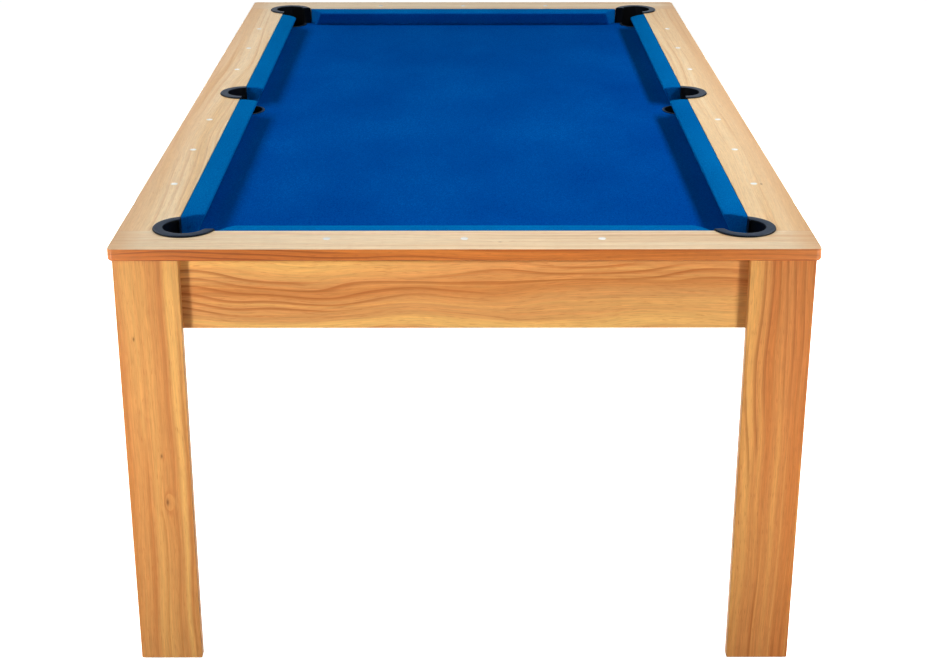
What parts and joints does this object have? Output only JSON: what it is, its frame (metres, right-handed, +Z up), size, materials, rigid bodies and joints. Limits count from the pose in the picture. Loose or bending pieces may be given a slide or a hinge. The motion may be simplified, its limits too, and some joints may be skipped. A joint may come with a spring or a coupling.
{
  "type": "pool table",
  "caption": "Home pool table with oak-look rails, aprons and L-shaped legs, blue cloth bed and cushions, black pocket liners and hidden screw levellers.",
  "frame": {"origin": "on the floor under the middle of the table", "axes": "+X to the right across the table seen from the near end, +Y along the table towards the far end, +Z up"},
  "size_m": [1.19, 2.134, 0.801],
  "materials": {
    "oak_veneer": "oak-look veneer, satin",
    "bed_cloth": "blue napped table cloth, stretched",
    "cushion_cloth": "blue napped cloth over rubber",
    "black_plastic": "moulded, fine satin",
    "sight_plastic": "white, polished flush",
    "fibreboard": "raw medium density fibreboard",
    "softwood": "planed pine, unfinished",
    "steel": "zinc plated",
    "foot_plastic": "black, moulded"
  },
  "bodies": {
    "frame": {"end_rail_near": "oak_veneer", "end_rail_far": "oak_veneer", "side_rail_left": "oak_veneer", "side_rail_right": "oak_veneer", "cushion_end_near": "cushion_cloth", "cushion_end_far": "cushion_cloth", "cushion_left_near": "cushion_cloth", "cushion_left_far": "cushion_cloth", "cushion_right_near": "cushion_cloth", "cushion_right_far": "cushion_cloth", "cushion_batten_end_near": "softwood", "cushion_batten_end_far": "softwood", "cushion_batten_left_near": "softwood", "cushion_batten_left_far": "softwood", "cushion_batten_right_near": "softwood", "cushion_batten_right_far": "softwood", "pocket_liner_near_left": "black_plastic", "pocket_liner_near_right": "black_plastic", "pocket_liner_far_right": "black_plastic", "pocket_liner_far_left": "black_plastic", "pocket_liner_middle_left": "black_plastic", "pocket_liner_middle_right": "black_plastic", "bed_board": "fibreboard", "bed_cloth": "bed_cloth", "apron_near": "oak_veneer", "apron_far": "oak_veneer", "apron_left": "oak_veneer", "apron_right": "oak_veneer", "ledger_left": "softwood", "ledger_right": "softwood", "crossbeam_1": "softwood", "crossbeam_2": "softwood", "crossbeam_3": "softwood", "crossbeam_4": "softwood", "leg_near_left": "oak_veneer", "corner_block_near_left": "softwood", "leg_bracket_near_left": "steel", "foot_block_near_left": "fibreboard", "leg_near_right": "oak_veneer", "corner_block_near_right": "softwood", "leg_bracket_near_right": "steel", "foot_block_near_right": "fibreboard", "leg_far_right": "oak_veneer", "corner_block_far_right": "softwood", "leg_bracket_far_right": "steel", "foot_block_far_right": "fibreboard", "leg_far_left": "oak_veneer", "corner_block_far_left": "softwood", "leg_bracket_far_left": "steel", "foot_block_far_left": "fibreboard"},
    "leveller_pad_near_left": {"leveller_pad_near_left": "foot_plastic"},
    "leveller_stem_near_left": {"leveller_stem_near_left": "steel"},
    "leveller_pad_near_right": {"leveller_pad_near_right": "foot_plastic"},
    "leveller_stem_near_right": {"leveller_stem_near_right": "steel"},
    "leveller_pad_far_right": {"leveller_pad_far_right": "foot_plastic"},
    "leveller_stem_far_right": {"leveller_stem_far_right": "steel"},
    "leveller_pad_far_left": {"leveller_pad_far_left": "foot_plastic"},
    "leveller_stem_far_left": {"leveller_stem_far_left": "steel"}
  },
  "joints": [
    {"name": "leveller_near_left_extend", "type": "slide", "parent": "frame", "child": "leveller_pad_near_left", "axis": [0, 0, -1], "range_m": [0, 0.012]},
    {"name": "leveller_near_left_turn", "type": "hinge", "parent": "leveller_pad_near_left", "child": "leveller_stem_near_left", "pos_m": [-0.54, -1.012, 0.03], "axis": [0, 0, -1], "range_deg": [0, 3420]},
    {"name": "leveller_near_right_extend", "type": "slide", "parent": "frame", "child": "leveller_pad_near_right", "axis": [0, 0, -1], "range_m": [0, 0.012]},
    {"name": "leveller_near_right_turn", "type": "hinge", "parent": "leveller_pad_near_right", "child": "leveller_stem_near_right", "pos_m": [0.54, -1.012, 0.03], "axis": [0, 0, -1], "range_deg": [0, 3420]},
    {"name": "leveller_far_right_extend", "type": "slide", "parent": "frame", "child": "leveller_pad_far_right", "axis": [0, 0, -1], "range_m": [0, 0.012]},
    {"name": "leveller_far_right_turn", "type": "hinge", "parent": "leveller_pad_far_right", "child": "leveller_stem_far_right", "pos_m": [0.54, 1.012, 0.03], "axis": [0, 0, -1], "range_deg": [0, 3420]},
    {"name": "leveller_far_left_extend", "type": "slide", "parent": "frame", "child": "leveller_pad_far_left", "axis": [0, 0, -1], "range_m": [0, 0.012]},
    {"name": "leveller_far_left_turn", "type": "hinge", "parent": "leveller_pad_far_left", "child": "leveller_stem_far_left", "pos_m": [-0.54, 1.012, 0.03], "axis": [0, 0, -1], "range_deg": [0, 3420]}
  ],
  "couplings": [
    {"joint": "leveller_near_left_extend", "follows": "leveller_near_left_turn", "m_per_rad": 0.00019894},
    {"joint": "leveller_near_right_extend", "follows": "leveller_near_right_turn", "m_per_rad": 0.00019894},
    {"joint": "leveller_far_right_extend", "follows": "leveller_far_right_turn", "m_per_rad": 0.00019894},
    {"joint": "leveller_far_left_extend", "follows": "leveller_far_left_turn", "m_per_rad": 0.00019894}
  ]
}
